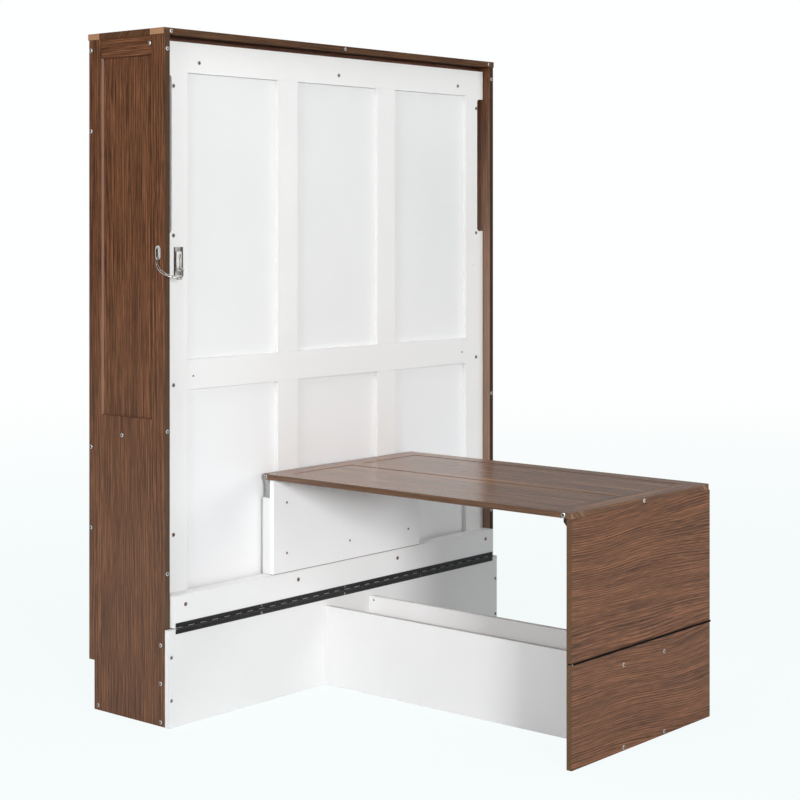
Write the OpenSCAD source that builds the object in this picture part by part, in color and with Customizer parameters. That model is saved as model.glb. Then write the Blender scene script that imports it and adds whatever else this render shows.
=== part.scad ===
// Wall bed with a desk on its face. The bed box turns down about a long
// piano hinge on the base board. The desk top, the leg panel, the base and the
// lower part of the bed form a parallelogram, so the desk top stays level while
// the bed comes down over it.
// X runs across the bed, -Y points into the room, Z is up, the floor is z = 0.

/* [Cabinet] */
// Depth of the side panels
cabinet_d = 363; // [355:1:420]
// Thickness of a side panel
side_t = 20; // [16:1:22]
// Depth of the sunk panel in a side
side_pocket = 10; // [4:1:12]
// Width of the raised border round a sunk panel
side_border = 61; // [40:1:80]
// Height of the bottom of the sunk panel
side_pocket_z = 954; // [930:1:1100]
// Height of the skirting cut-out
skirting_h = 158; // [60:1:180]
// Depth of the skirting cut-out
skirting_d = 26; // [10:1:40]
// Thickness of the cap
cap_t = 20; // [16:1:24]
// Overhang of the cap past each side
cap_over = 4.7; // [2:0.1:12]
// Depth of the front rail of the cap
cap_front_w = 65; // [40:1:80]
// Depth of the back rail of the cap
cap_back_w = 55; // [40:1:80]
// Height of the head rail under the cap
head_rail_h = 50; // [44:1:54]
// Distance of the head rail behind the front edges
head_rail_set = 63; // [60:1:70]
// Height of a back board
back_board_h = 297; // [200:1:320]
// Distance of the upper back board under the cap
upper_board_drop = 14.5; // [10:0.5:60]
// Height of the middle of the lower back board
lower_board_z = 715; // [600:1:800]
// Width of the flat tie near the floor at the back
tie_w = 37; // [30:1:45]

/* [Base] */
// Thickness of the plain boards
board_t = 18; // [15:1:19]
// Height of the base board and of the lower front panel
base_h = 303; // [290:1:330]
// Height of the two base rails
rail_h = 267; // [180:1:270]
// Distance between the middles of the two base rails
rail_pitch = 224; // [120:1:500]
// Distance from the cabinet's front edges to the face of the front panel
reach = 1220; // [1100:1:1400]
// Width and depth of a corner cleat
cleat_w = 20; // [16:1:22]
cleat_d = 40; // [30:1:45]

/* [Bed] */
// Width of the mattress that the box takes
mattress_w = 1524; // [1520:1:1526]
// Length of the mattress that the box takes
mattress_l = 2032; // [1900:1:2032]
// Room left round the mattress
mattress_gap = 1; // [0.5:0.5:2]
// Room left past the two ends of the mattress
mattress_end_gap = 4; // [2:0.5:6]
// Room between the bed box and a side panel, where the gas strut stands
strut_room = 37; // [32:1:60]
// Height of the foot end of the bed box above the floor
box_foot = 14; // [10:1:30]
// Height of the face above the bed box
head_margin = 53; // [40:1:60]
// Distance of the face behind the cabinet's front edges
face_set = 32; // [30:1:35]
// Gap between the face and a side panel
face_gap = 3; // [2:0.5:4]
// Gap between the face and the cap
face_head_gap = 17; // [12:1:30]
// Thickness of the stiles and rails on the face
strip_t = 15; // [9:1:16]
// Thickness of the sheet behind them
sheet_t = 6; // [4:1:7]
// Width of the rails and middle stiles on the face
strip_w = 96; // [60:1:120]
// Width of the outer stiles on the face
stile_w = 102.5; // [80:0.5:120]
// Width of the middle one of the three sunk fields
middle_field_w = 409; // [380:1:440]
// Height of the middle of the middle rail
mid_rail_z = 1088; // [1000:1:1200]
// Thickness of a side rail of the bed box
box_rail_t = 15; // [12:1:16]
// Depth of the bed box behind the face
box_d = 120; // [110:1:122]
// Height of a finger pull
pull_h = 500; // [200:1:520]
// Distance of the finger pulls below the top of the face
pull_drop = 106; // [90:1:400]
// Corner radius of a finger pull
pull_r = 12; // [6:1:16]
// Number of slats
slat_count = 15; // [10:1:18]
// Width of a slat
slat_w = 68; // [50:1:80]
// Thickness of a slat
slat_t = 12; // [9:1:14]
// Thickness and width of the ledges under the slats
ledge_t = 18; // [12:1:18]
ledge_w = 25; // [20:1:35]
// Width of the beam under the middle of the slats
beam_w = 40; // [30:1:60]
// Height of the hinge rail across the bottom of the face
hinge_rail_h = 100; // [80:1:102]

/* [Desk] */
// Height of the desk top
desk_h = 740; // [700:1:760]
// Width of the desk top
desk_w = 760; // [700:1:900]
// Thickness of the desk top
desk_t = 18; // [16:1:20]
// Width of the border round the two sunk fields
desk_border = 64; // [50:1:90]
// Width of the front and rear border
desk_end_border = 78; // [60:1:100]
// Width of the strip between the two fields
desk_mullion_w = 50; // [30:1:80]
// Depth of the sunk fields
desk_field_sink = 1; // [0.5:0.5:3]
// Corner radius at the front and at the rear
desk_front_r = 9; // [6:1:20]
desk_rear_r = 14; // [6:1:15]
// Rear overhang past the pivot
desk_rear_over = 16; // [12:0.5:17]
// Distance of the support block's ends inside the ends of the desk top
block_inset = 6; // [4:1:20]
// Height of the top of the spacers behind the support board
spacer_top = 660; // [600:1:680]
// Width of a spacer
spacer_w = 124; // [80:1:200]

/* [Hinges and pivots] */
// Width of a leaf of the bed's piano hinge
leaf_w = 17; // [14:1:25]
// Thickness of a leaf
leaf_t = 1.2; // [1:0.1:1.5]
// Outer radius of a knuckle
knuckle_r = 3; // [2.6:0.1:3.2]
// Radius of a hinge pin
pin_r = 1.5; // [1.2:0.1:1.6]
// Length of a knuckle with its gap
knuckle_pitch = 26; // [20:1:40]
// Gap between two knuckles
knuckle_gap = 0.6; // [0.4:0.1:1]
// Gap between the boards that a piano hinge joins
hinge_gap = 4; // [3.5:0.1:6]
// Distance of the bed's hinge inside the ends of the face
hinge_inset = 5; // [2:1:20]
// Gap between the leg panel and the desk top when both lie flat
fold_gap = 2; // [1:0.5:4]
// Radius of a pivot bolt
bolt_r = 3; // [2.5:0.1:3.4]
// Radius of a pivot bolt's head
bolt_head_r = 7; // [5:0.5:8]
// Thickness of a pivot plate
plate_t = 3; // [2:0.5:3.5]
// Distance of a pivot plate inside the edge of the desk top
plate_inset = 10; // [8:1:16]
// Radius of a pivot plate's eye
eye_r = 5.5; // [5.5:0.1:6.5]
// Width of the rear pivot's plate where it stands on the spacer
strap_w = 20; // [16:1:24]
// Radial clearance of a turning pin
running_fit = 0.05; // [0.02:0.01:0.09]
// Radial clearance at the leg panel's pivot, where the linkage is left open
open_fit = 0.4; // [0.3:0.05:0.6]

/* [Gas struts] */
// Place of a strut's upper pivot behind the front edges and above the floor
strut_y = 203; // [190:1:220]
strut_z = 894; // [880:1:930]
// Place of a strut's lower stud behind and below the bed's hinge pin
lever_back = 150; // [130:1:160]
lever_down = 120; // [100:1:130]
// Radius of a strut's cylinder
strut_r = 11; // [8:0.5:12]
// Length of a strut's cylinder
strut_tube_l = 370; // [350:1:380]
// Radius and length of a strut's rod
rod_r = 5; // [3:0.5:6]
rod_l = 360; // [350:1:370]
// Radius of a strut's pivot pin
strut_pin_r = 4; // [3:0.5:4]

/* [Fasteners] */
// Radius and height of a screw's head
screw_head_r = 6.5; // [4:0.5:7]
screw_head_h = 2; // [1.5:0.1:2.5]
// Radius of a screw's shank
screw_r = 2; // [1.5:0.1:2.5]
// Length of a screw past the piece that it holds
screw_bite = 24; // [12:1:30]
// Radius of a wall-fixing hole
wall_hole_r = 3.5; // [3:0.5:6]
// Distance between the wall-fixing holes across and up the upper back board
wall_hole_w = 1200; // [800:1:1400]
wall_hole_h = 200; // [120:1:200]

/* [Safety chain] */
// Radius of the wire
wire_r = 1.3; // [1:0.1:1.5]
// Outside width of a link
link_w = 10; // [8:0.5:11]
// Distance of the middle of the slotted track below the finger pull
track_drop = 88; // [70:1:120]
// Width, height and rise of the slotted track
track_w = 38; // [32:1:44]
track_h = 90; // [70:1:110]
track_rise = 7; // [5:0.5:8]
// Width and height of the anchor plate on the side panel
anchor_w = 24; // [16:1:24]
anchor_h = 45; // [36:1:50]

/* [Hidden] */
$fn = 32;
eps = 0.01;
slack = 0.5;

// the mattress sets the width and the height of the whole
box_in = mattress_w / 2 + mattress_gap;
box_out = box_in + box_rail_t;
inner_w = box_out + strut_room;
half_w = inner_w + side_t;
box_top = box_foot + 2 * (board_t + mattress_end_gap) + mattress_l;
face_top = box_top + head_margin;
side_top = face_top + face_head_gap;
cabinet_h = side_top + cap_t;
upper_board_z = side_top - upper_board_drop - back_board_h / 2;
pull_z = face_top - pull_drop - pull_h / 2;
track_z = pull_z - pull_h / 2 - track_drop;

// hinge pins and the parallelogram
pin_y = -board_t - knuckle_r;
pin_z = base_h + hinge_gap / 2;
leg_pin_y = -reach - knuckle_r;
link_back = knuckle_r + board_t + fold_gap + desk_t / 2;
desk_mid_z = desk_h - desk_t / 2;
rear_pivot = [pin_y + link_back, desk_mid_z];
front_pivot = [leg_pin_y + link_back, desk_mid_z];
moving_z = base_h + hinge_gap;

// bed face and box
face_w = inner_w - face_gap;
sheet_y = face_set + strip_t;
box_y = sheet_y + sheet_t;
box_bottom = box_foot;
ledge_in = box_in - ledge_w;
slat_y = box_y + ledge_t;
stile_in = face_w - stile_w;
mullion_in = middle_field_w / 2;
mullion_x = mullion_in + strip_w / 2;
hinge_rail_top = moving_z + hinge_rail_h;
bed_hinge_l = 2 * (face_w - hinge_inset);

// desk
desk_x = desk_w / 2;
desk_rear_y = rear_pivot[0] + desk_rear_over;
desk_bottom = desk_h - desk_t;
block_x = desk_x - block_inset;
support_y = -board_t - 2;
support_top = desk_bottom - 2;
plate_x = desk_x - plate_inset;
slot_half = plate_t / 2 + slack;
leg_in_y = board_t - reach;
plate_reach = 40;
leg_plate_drop = 24;

// gas struts
strut_x = (box_out + inner_w) / 2;
stud = [pin_y + lever_back, pin_z - lever_down];
strut_run = [stud[0] - strut_y, stud[1] - strut_z];
strut_len = norm(strut_run);
strut_lean = atan2(strut_run[0], -strut_run[1]);
eye_half = 7;

// middle of the whole, so that the origin is at the middle of its footprint
front_y = leg_pin_y - knuckle_r;
mid_y = (cabinet_d + front_y) / 2;

// screw places, as across and up on the face that they go through
rail_x = rail_pitch / 2;
board_screw_in = back_board_h / 2 - 18;
cleat_top = rail_h;
side_screws_at = [
    [head_rail_set + board_t / 2, side_top - head_rail_h / 2],
    [cabinet_d - board_t / 2, upper_board_z + board_screw_in],
    [cabinet_d - board_t / 2, upper_board_z - board_screw_in],
    [cabinet_d - board_t / 2, lower_board_z + board_screw_in],
    [cabinet_d - board_t / 2, lower_board_z - board_screw_in],
    [cleat_d / 2, cleat_top - 14], [cleat_d / 2, cleat_top / 2], [cleat_d / 2, 13],
    [cabinet_d - skirting_d - tie_w / 2, 15]
];
edge_screws_at = [for (s = [-1, 1]) for (z = [side_top - 46, side_pocket_z - 34, side_pocket_z / 2])
    [s * (half_w - side_t / 2), z]];
cap_screws_at = [for (x = [-1, 0, 1]) [x * (half_w - 26), cabinet_h - cap_t / 2]];
stile_screw_pitch = (box_top - 88 - hinge_rail_top - 181) / 3;
stile_screws_at = [for (s = [-1, 1]) for (i = [0:3])
    [s * (box_out - box_rail_t / 2), box_top - 88 - i * stile_screw_pitch]];
top_screws_at = [for (i = [-1, 0, 1]) [i * (stile_in - 49.5), box_top - board_t / 2]];
mid_screws_at = [for (s = [-1, 1]) [s * (stile_in - 23.5), mid_rail_z - 5]];
hinge_rail_screws_at = [for (i = [-3, -1, 1, 3]) [i / 3 * (face_w - 47), hinge_rail_top - 31]];
block_screws_at = concat(
    [for (x = [-1, 0, 1]) [x * (block_x - spacer_w / 2), hinge_rail_top + 66]],
    [for (x = [-1, 1]) [x * (block_x - spacer_w / 2), spacer_top - 19]]);
base_screws_at = [for (s = [-1, 1]) for (z = [base_h / 2 - 67, base_h / 2 + 67]) [s * (half_w - side_t / 2), z]];
rail_screws_at = [for (s = [-1, 1]) for (z = [10, rail_h - 11]) [s * rail_x, z]];
rail_fixings_at = [for (z = [14, rail_h - 13.5]) [-board_t - 22, z]];

// ---------- shared shapes ----------

// a block from its low corner to its high corner
module block(low, high) {
    translate(low) cube(high - low);
}

// the same piece on the left and on the right
module pair() {
    children();
    mirror([1, 0, 0]) children();
}

// a board in the XZ plane between two heights, front at y, thickness t
module board(half, y, t, low, high) {
    block([-half, y, low], [half, y + t, high]);
}

// screws are drawn with the head above z = 0 and the shank below
module screw(shank_l, head_r = screw_head_r, shank_r = screw_r) {
    rotate_extrude() polygon([
        [0, -shank_l], [shank_r, -shank_l], [shank_r, 0], [head_r, 0],
        [head_r, screw_head_h * 0.4], [head_r * 0.7, screw_head_h * 0.85],
        [head_r * 0.3, screw_head_h], [0, screw_head_h]
    ]);
}

// a small flat-headed screw for the leaf of a piano hinge
module leaf_screw() {
    head_r = 3.5;
    rotate_extrude() polygon([
        [0, -11], [screw_r, -11], [screw_r, 0], [head_r, 0], [head_r * 0.6, 0.7], [0, 0.7]
    ]);
}

module screw_bore(shank_l, shank_r = screw_r) {
    translate([0, 0, -shank_l - slack]) cylinder(r = shank_r + running_fit, h = shank_l + 2 * slack);
}

// children turned so that their top faces the room, the wall or a side
module facing_front(places, y) {
    for (p = places) translate([p[0], y, p[1]]) rotate([90, 0, 0]) children();
}

module facing_back(places, y) {
    for (p = places) translate([p[0], y, p[1]]) rotate([-90, 0, 0]) children();
}

module facing_side(places, x, side) {
    for (p = places) translate([side * x, p[0], p[1]]) rotate([0, side * 90, 0]) children();
}

// a rod along X
module rod_x(x0, x1, y, z, r) {
    translate([x0, y, z]) rotate([0, 90, 0]) cylinder(r = r, h = x1 - x0);
}

// ---------- piano hinges ----------

// knuckles along X about the line y = z = 0, every second one from the first
module knuckles(length, first) {
    count = floor(length / knuckle_pitch);
    start = -count * knuckle_pitch / 2;
    for (i = [first:2:count - 1])
        rod_x(start + i * knuckle_pitch + knuckle_gap / 2,
              start + (i + 1) * knuckle_pitch - knuckle_gap / 2, 0, 0, knuckle_r);
}

// tongues that join the knuckles to a leaf: y and z ranges of the tongue
module tongues(length, first, low, high) {
    count = floor(length / knuckle_pitch);
    start = -count * knuckle_pitch / 2;
    for (i = [first:2:count - 1])
        block([start + i * knuckle_pitch + knuckle_gap / 2, low[0], low[1]],
              [start + (i + 1) * knuckle_pitch - knuckle_gap / 2, high[0], high[1]]);
}

// a leaf that lies flat on a front face, above (up = 1) or below (up = -1) the pin
module face_leaf(length, width, up) {
    first = up > 0 ? 1 : 0;
    clear = knuckle_r + knuckle_gap;
    difference() {
        union() {
            scale([1, 1, up]) block([-length / 2, knuckle_r - leaf_t, clear], [length / 2, knuckle_r, width]);
            scale([1, 1, up]) tongues(length, first, [knuckle_r - leaf_t, 0], [knuckle_r, clear + eps]);
            knuckles(length, first);
        }
        rod_x(-length, length, 0, 0, pin_r + running_fit);
    }
}

// a leaf that lies on the edge of a board behind the pin, above or below it
module edge_leaf(length, width, up) {
    first = up > 0 ? 1 : 0;
    clear = knuckle_r + knuckle_gap;
    far = hinge_gap / 2;
    difference() {
        union() {
            scale([1, 1, up]) block([-length / 2, clear, far - leaf_t], [length / 2, width, far]);
            scale([1, 1, up]) tongues(length, first, [0, far - leaf_t], [clear + eps, far]);
            knuckles(length, first);
        }
        rod_x(-length, length, 0, 0, pin_r + running_fit);
    }
}

module leaf_screws_at(length, up, y, z) {
    count = round(length / 51);
    pitch = length / count;
    for (i = [0:count - 1])
        translate([-length / 2 + (i + 0.5) * pitch, y, z + up * (knuckle_r + leaf_w) / 2 + up * 1.5])
            rotate([90, 0, 0]) children();
}

// ---------- cabinet ----------

module side_panel() {
    pocket_top = side_top - side_border;
    color("#6b4636") difference() {
        translate([-half_w, 0, 0]) rotate([90, 0, 90]) linear_extrude(side_t) polygon([
            [0, 0], [cabinet_d - skirting_d, 0], [cabinet_d - skirting_d, skirting_h],
            [cabinet_d, skirting_h], [cabinet_d, side_top], [0, side_top]
        ]);
        block([-half_w - 1, side_border, side_pocket_z],
              [-half_w + side_pocket, cabinet_d - side_border, pocket_top]);
        facing_side(side_screws_at, half_w, -1) screw_bore(side_t + screw_bite);
        facing_side([[strut_y, strut_z]], half_w, -1) screw_bore(side_t + 3);
        facing_front(edge_screws_at, 0) screw_bore(screw_bite);
        facing_front(base_screws_at, -board_t) screw_bore(board_t + screw_bite);
    }
}

module side_panel_left() side_panel();

module side_panel_right() mirror([1, 0, 0]) side_panel();

module cap_front_rail() {
    color("#4a3524") difference() {
        block([-half_w - cap_over, 0, side_top], [half_w + cap_over, cap_front_w, cabinet_h]);
        facing_front(cap_screws_at, 0) screw_bore(screw_bite);
    }
}

module cap_back_rail() {
    color("#4a3524") block([-half_w - cap_over, cabinet_d - cap_back_w, side_top],
                           [half_w + cap_over, cabinet_d, cabinet_h]);
}

module cap_infill() {
    color("#6b4636") block([-half_w - cap_over, cap_front_w, side_top],
                           [half_w + cap_over, cabinet_d - cap_back_w, cabinet_h]);
}

// a board between the side panels, bored for the side screws
module cross_board(y, t, low, high) {
    difference() {
        board(inner_w, y, t, low, high);
        for (s = [-1, 1]) facing_side(side_screws_at, half_w, s) screw_bore(side_t + screw_bite);
    }
}

module head_rail() {
    color("#8a5038") cross_board(head_rail_set, board_t, side_top - head_rail_h, side_top);
}

module upper_back_board() {
    color("#6b4636") difference() {
        cross_board(cabinet_d - board_t, board_t,
                    upper_board_z - back_board_h / 2, upper_board_z + back_board_h / 2);
        for (x = [-1, 1]) for (z = [-1, 1])
            translate([x * wall_hole_w / 2, cabinet_d + 1, upper_board_z + z * wall_hole_h / 2])
                rotate([90, 0, 0]) cylinder(r = wall_hole_r, h = board_t + 2);
    }
}

module lower_back_board() {
    color("#6b4636") difference() {
        cross_board(cabinet_d - board_t, board_t,
                    lower_board_z - back_board_h / 2, lower_board_z + back_board_h / 2);
        for (x = [-1, 1]) translate([x * wall_hole_w / 2, cabinet_d + 1, lower_board_z])
            rotate([90, 0, 0]) cylinder(r = wall_hole_r, h = board_t + 2);
    }
}

module rear_tie() {
    back = cabinet_d - skirting_d;
    color("#6b4636") cross_board(back - tie_w, tie_w, 6, 6 + board_t);
}

module base_board() {
    color("#f1f1f0") difference() {
        board(half_w, -board_t, board_t, 0, base_h);
        facing_front(base_screws_at, -board_t) screw_bore(board_t + screw_bite);
        facing_back(rail_screws_at, 0) screw_bore(board_t + screw_bite);
        translate([0, pin_y, pin_z]) leaf_screws_at(bed_hinge_l, -1, knuckle_r - leaf_t, 0)
            screw_bore(14);
    }
}

module corner_cleats() {
    color("#f1f1f0") pair() difference() {
        block([-inner_w, 0, 4], [-inner_w + cleat_w, cleat_d, cleat_top]);
        facing_side(side_screws_at, half_w, -1) screw_bore(side_t + cleat_w - 4);
    }
}

module base_rail(side) {
    color("#f1f1f0") difference() {
        block([side * rail_x - board_t / 2, leg_in_y, 0], [side * rail_x + board_t / 2, -board_t, rail_h]);
        facing_back(rail_screws_at, 0) screw_bore(board_t + screw_bite);
        facing_front(rail_screws_at, -reach) screw_bore(board_t + screw_bite);
        facing_side(rail_fixings_at, board_t / 2 - rail_x, -side) screw_bore(6);
    }
}

module base_rail_left() base_rail(-1);

module base_rail_right() base_rail(1);

module lower_front_panel() {
    color("#74513f") difference() {
        board(desk_x, -reach, board_t, 0, base_h);
        facing_front(rail_screws_at, -reach) screw_bore(board_t + screw_bite);
    }
}

module bed_hinge_fixed_leaf() {
    color("#2a2a2a") translate([0, pin_y, pin_z]) difference() {
        face_leaf(bed_hinge_l, leaf_w, -1);
        leaf_screws_at(bed_hinge_l, -1, knuckle_r - leaf_t, 0) screw_bore(14);
    }
}

module bed_hinge_pin() {
    color("#9a9a9a") rod_x(-bed_hinge_l / 2, bed_hinge_l / 2, pin_y, pin_z, pin_r);
}

module leg_hinge_fixed_leaf() {
    color("#2a2a2a") translate([0, leg_pin_y, pin_z]) edge_leaf(desk_w, knuckle_r + board_t, -1);
}

module leg_hinge_pin() {
    color("#9a9a9a") rod_x(-desk_x, desk_x, leg_pin_y, pin_z, pin_r);
}

module strut_brackets() {
    plate = 3;
    color("#9fa1a3") pair() {
        difference() {
            block([-inner_w, strut_y - 18, strut_z - 28], [-inner_w + plate, strut_y + 18, strut_z + 28]);
            facing_side([[strut_y, strut_z]], half_w, -1) screw_bore(side_t + plate);
        }
        rod_x(-inner_w + plate, -strut_x + eye_half + 1, strut_y, strut_z, strut_pin_r);
    }
}

module chain_anchor() {
    plate = 1.5;
    anchor_y = 31;
    top = track_z + anchor_h + 6;
    color("#b9b9b6") {
        difference() {
            union() {
                block([-half_w - plate, anchor_y - anchor_w / 2, top - anchor_h + anchor_w / 2],
                      [-half_w, anchor_y + anchor_w / 2, top - anchor_w / 2]);
                for (z = [top - anchor_w / 2, top - anchor_h + anchor_w / 2])
                    rod_x(-half_w - plate, -half_w, anchor_y, z, anchor_w / 2);
            }
            facing_side([[anchor_y, top - 9]], half_w + plate, -1) screw_bore(12);
        }
        translate([-half_w - plate + eps, anchor_y, track_z + 11]) rotate([0, -90, 0]) {
            cylinder(r = 1.8, h = 4.9);
            translate([0, 0, 4.8]) cylinder(r = 3.4, h = 1.2);
        }
        chain_links(0, 0);
    }
}

module case_screws() {
    color("#b9b9b6") {
        for (s = [-1, 1]) {
            facing_side(side_screws_at, half_w, s) screw(side_t + cleat_w - 6);
            facing_side([[strut_y, strut_z]], half_w, s) screw(side_t + 2);
        }
        facing_front(edge_screws_at, 0) screw(screw_bite);
        facing_front(cap_screws_at, 0) screw(screw_bite);
    }
}

module base_screws() {
    color("#b9b9b6") {
        facing_front(base_screws_at, -board_t) screw(board_t + screw_bite);
        facing_back(rail_screws_at, 0) screw(board_t + screw_bite);
        facing_front(rail_screws_at, -reach) screw(board_t + screw_bite);
        for (s = [-1, 1]) facing_side(rail_fixings_at, board_t / 2 - rail_x, -s) screw(6, 4);
        translate([0, pin_y, pin_z]) leaf_screws_at(bed_hinge_l, -1, knuckle_r - leaf_t, 0) leaf_screw();
    }
}

// ---------- bed ----------

// the finger pull in the left edge of the face, as an outline in X and Z
module pull_outline() {
    pull_in = face_w - box_out;
    translate([-face_w - pull_in, pull_z - pull_h / 2]) {
        translate([0, pull_r]) square([2 * pull_in, pull_h - 2 * pull_r]);
        square([2 * pull_in - pull_r, pull_h]);
        for (z = [pull_r, pull_h - pull_r]) translate([2 * pull_in - pull_r, z]) circle(r = pull_r);
    }
}

module pulls(y, t) {
    pair() translate([0, y + t + 1, 0]) rotate([90, 0, 0]) linear_extrude(t + 2) pull_outline();
}

module all_face_bores() {
    facing_front(concat(stile_screws_at, top_screws_at, mid_screws_at), face_set)
        screw_bore(strip_t + sheet_t + screw_bite);
}

module face_sheet() {
    color("#f0f0ef") difference() {
        board(face_w, sheet_y, sheet_t, moving_z, face_top);
        pulls(sheet_y, sheet_t);
        all_face_bores();
    }
}

module face_stile() {
    color("#f0f0ef") difference() {
        block([-face_w, face_set, moving_z], [-stile_in, sheet_y, face_top]);
        pulls(face_set, strip_t);
        facing_front(stile_screws_at, face_set) screw_bore(strip_t + sheet_t + screw_bite);
        facing_front([[-track_x, track_z + track_h / 2 - 7], [-track_x, track_z - track_h / 2 + 7]], face_set)
            screw_bore(12);
    }
}

module face_stile_left() face_stile();

module face_stile_right() mirror([1, 0, 0]) face_stile();

module face_top_rail() {
    color("#f0f0ef") difference() {
        board(stile_in, face_set, strip_t, face_top - strip_w, face_top);
        facing_front(top_screws_at, face_set) screw_bore(strip_t + sheet_t + screw_bite);
    }
}

module face_mid_rail() {
    color("#f0f0ef") difference() {
        board(stile_in, face_set, strip_t, mid_rail_z - strip_w / 2, mid_rail_z + strip_w / 2);
        facing_front(mid_screws_at, face_set) screw_bore(strip_t + sheet_t + screw_bite);
    }
}

module face_mullions() {
    color("#f0f0ef") for (s = [-1, 1]) {
        block([s * mullion_x - strip_w / 2, face_set, moving_z],
              [s * mullion_x + strip_w / 2, sheet_y, mid_rail_z - strip_w / 2]);
        block([s * mullion_x - strip_w / 2, face_set, mid_rail_z + strip_w / 2],
              [s * mullion_x + strip_w / 2, sheet_y, face_top - strip_w]);
    }
}

module hinge_rail_front() {
    color("#f0f0ef") difference() {
        board(face_w, -board_t, board_t, moving_z, hinge_rail_top);
        facing_front(hinge_rail_screws_at, -board_t) screw_bore(board_t + screw_bite);
        translate([0, pin_y, pin_z]) leaf_screws_at(bed_hinge_l, 1, knuckle_r - leaf_t, 0) screw_bore(14);
    }
}

module hinge_rail_core() {
    color("#f0f0ef") difference() {
        board(face_w, 0, face_set, moving_z, hinge_rail_top);
        facing_front(hinge_rail_screws_at, -board_t) screw_bore(board_t + screw_bite);
    }
}

module box_rail() {
    color("#ecebe8") difference() {
        block([-box_out, box_y, box_bottom], [-box_in, box_y + box_d, box_top]);
        facing_front(stile_screws_at, face_set) screw_bore(strip_t + sheet_t + screw_bite);
        facing_side([stud], box_out, -1) screw_bore(box_rail_t + 1);
    }
}

module box_rail_left() box_rail();

module box_rail_right() mirror([1, 0, 0]) box_rail();

module box_end_rails() {
    color("#ecebe8") difference() {
        for (z = [box_bottom, box_top - board_t]) board(box_in, box_y, box_d, z, z + board_t);
        facing_front(top_screws_at, face_set) screw_bore(strip_t + sheet_t + screw_bite);
    }
}

module slat_ledges() {
    color("#cfa77c") pair() block([-box_in, box_y, box_bottom + board_t],
                                  [-ledge_in, slat_y, box_top - board_t]);
}

batten_w = 36;

module cross_batten() {
    color("#cfa77c") difference() {
        board(ledge_in, box_y, ledge_t, mid_rail_z - 5 - batten_w / 2, mid_rail_z - 5 + batten_w / 2);
        facing_front(mid_screws_at, face_set) screw_bore(strip_t + sheet_t + ledge_t - 4);
    }
}

module centre_beams() {
    color("#cfa77c") {
        board(beam_w / 2, box_y, ledge_t, box_bottom + board_t, mid_rail_z - 5 - batten_w / 2);
        board(beam_w / 2, box_y, ledge_t, mid_rail_z - 5 + batten_w / 2, box_top - board_t);
    }
}

module slats() {
    first = box_bottom + board_t + 20;
    last = box_top - board_t - 20 - slat_w;
    pitch = (last - first) / (slat_count - 1);
    color("#dcb88c") for (i = [0:slat_count - 1])
        board(box_in - 3, slat_y, slat_t, first + i * pitch, first + i * pitch + slat_w);
}

module desk_spacers() {
    color("#f0f0ef") difference() {
        for (x = [-1, 0, 1]) translate([x * (block_x - spacer_w / 2), 0, 0])
            board(spacer_w / 2, support_y + board_t, face_set - support_y - board_t,
                  hinge_rail_top + 1, spacer_top);
        facing_front(block_screws_at, support_y) screw_bore(board_t + screw_bite);
    }
}

module desk_support_board() {
    color("#f0f0ef") difference() {
        board(block_x, support_y, board_t, hinge_rail_top + 1, support_top);
        facing_front(block_screws_at, support_y) screw_bore(board_t + screw_bite);
    }
}

// a plate standing in the YZ plane, with its profile given as Y and Z points
module standing_plate(points, eye, hole_r) {
    translate([-plate_x - plate_t / 2, 0, 0]) rotate([90, 0, 90]) linear_extrude(plate_t) difference() {
        union() {
            polygon(points);
            translate(eye) circle(r = eye_r);
        }
        translate(eye) circle(r = hole_r);
    }
}

module desk_pivot_plates() {
    eye = rear_pivot;
    color("#a0a0a0") pair() {
        standing_plate([
            [0, spacer_top], [strap_w, spacer_top], [strap_w, desk_bottom - 18], [eye[0] + 15, desk_bottom - 8],
            [eye[0] + 15, desk_h - 6], [eye[0] + 11, desk_h - 2], [eye[0] + 4, desk_h - 2],
            [eye[0] - eye_r, eye[1]], [eye[0] - eye_r, desk_bottom - 8], [0, desk_bottom - 18]
        ], eye, bolt_r + running_fit);
        block([-plate_x, 0, spacer_top], [-plate_x + 24, strap_w, spacer_top + 2]);
    }
}

module bed_hinge_moving_leaf() {
    color("#2a2a2a") translate([0, pin_y, pin_z]) difference() {
        face_leaf(bed_hinge_l, leaf_w, 1);
        leaf_screws_at(bed_hinge_l, 1, knuckle_r - leaf_t, 0) screw_bore(14);
    }
}

module strut_studs() {
    tip = strut_x - eye_half - 0.3;
    color("#9fa1a3") pair() {
        facing_side([stud], box_out, -1) cylinder(r = 11, h = 2);
        rod_x(-tip, -box_out - 2 + eps, stud[0], stud[1], strut_pin_r);
        rod_x(-box_out, -box_out + box_rail_t, stud[0], stud[1], screw_r);
    }
}

track_x = box_in - 13;

// a slotted track that the chain's stud slides in
module chain_track() {
    plate = 1.5;
    wall = 1.5;
    channel_w = track_w - 10;
    slot_w = 4.4;
    color("#b9b9b6") translate([-track_x, face_set, track_z]) difference() {
        union() {
            block([-track_w / 2, -plate, -track_h / 2], [track_w / 2, 0, track_h / 2]);
            block([-channel_w / 2, -track_rise, -track_h / 2 + 14], [channel_w / 2, 0, track_h / 2 - 14]);
        }
        block([-channel_w / 2 + wall, -track_rise + wall, -track_h / 2 + 14 + wall],
              [channel_w / 2 - wall, 1, track_h / 2 - 14 - wall]);
        block([-slot_w / 2, -track_rise - 1, -track_h / 2 + 18], [slot_w / 2, 1, track_h / 2 - 27]);
        translate([0, 1, track_h / 2 - 26]) rotate([90, 0, 0]) cylinder(r = 5, h = track_rise + 2);
        for (s = [-1, 1]) translate([0, -plate, s * (track_h / 2 - 7)]) rotate([90, 0, 0])
            screw_bore(12);
    }
}

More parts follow.
